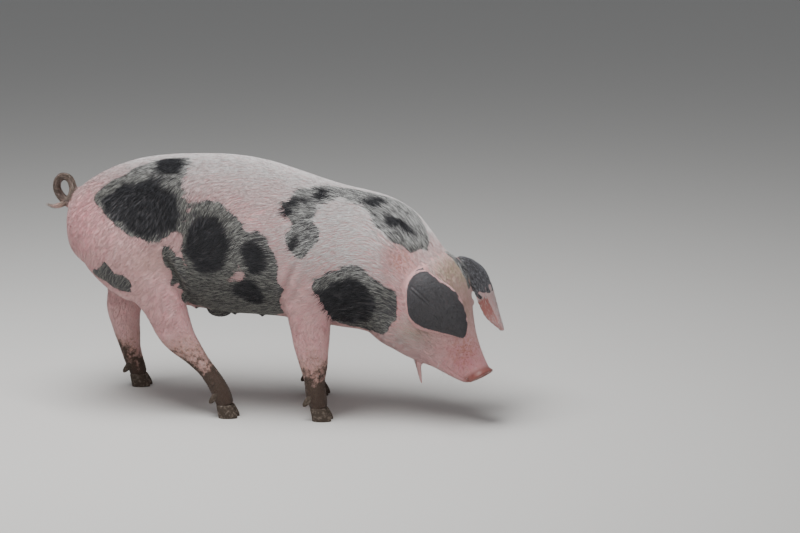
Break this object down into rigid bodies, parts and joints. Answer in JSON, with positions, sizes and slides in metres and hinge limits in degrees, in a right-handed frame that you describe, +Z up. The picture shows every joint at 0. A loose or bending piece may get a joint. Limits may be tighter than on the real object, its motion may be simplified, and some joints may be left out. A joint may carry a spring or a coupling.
{
  "type": "pig",
  "caption": "Life-size still model of a young spotted pig, standing hunched on four feet with its head lowered to root, ears lopped forward and tail in one curl.",
  "frame": {"origin": "centre of the bounding box in plan, on the floor the claws stand on", "axes": "+X is the way the trunk faces, +Y the pig's left, +Z up"},
  "size_m": [1.155, 0.3506, 0.636],
  "materials": {
    "skin": "satin",
    "coat": "matt",
    "eye": "glossy",
    "claw": "matt"
  },
  "bodies": {
    "root": {"ear_left": "skin", "ear_right": "skin", "eye_left": "eye", "eye_right": "eye", "fore_left_claw_inner": "claw", "fore_left_claw_outer": "claw", "fore_left_dewclaw_inner": "claw", "fore_left_dewclaw_outer": "claw", "fore_left_foot": "skin", "fore_left_shank": "skin", "fore_left_upper": "skin", "fore_right_claw_inner": "claw", "fore_right_claw_outer": "claw", "fore_right_dewclaw_inner": "claw", "fore_right_dewclaw_outer": "claw", "fore_right_foot": "skin", "fore_right_shank": "skin", "fore_right_upper": "skin", "head": "skin", "hind_left_claw_inner": "claw", "hind_left_claw_outer": "claw", "hind_left_dewclaw_inner": "claw", "hind_left_dewclaw_outer": "claw", "hind_left_foot": "skin", "hind_left_shank": "skin", "hind_left_upper": "skin", "hind_right_claw_inner": "claw", "hind_right_claw_outer": "claw", "hind_right_dewclaw_inner": "claw", "hind_right_dewclaw_outer": "claw", "hind_right_foot": "skin", "hind_right_shank": "skin", "hind_right_upper": "skin", "neck": "skin", "snout": "skin", "tail": "skin", "trunk": "skin"}
  },
  "joints": []
}
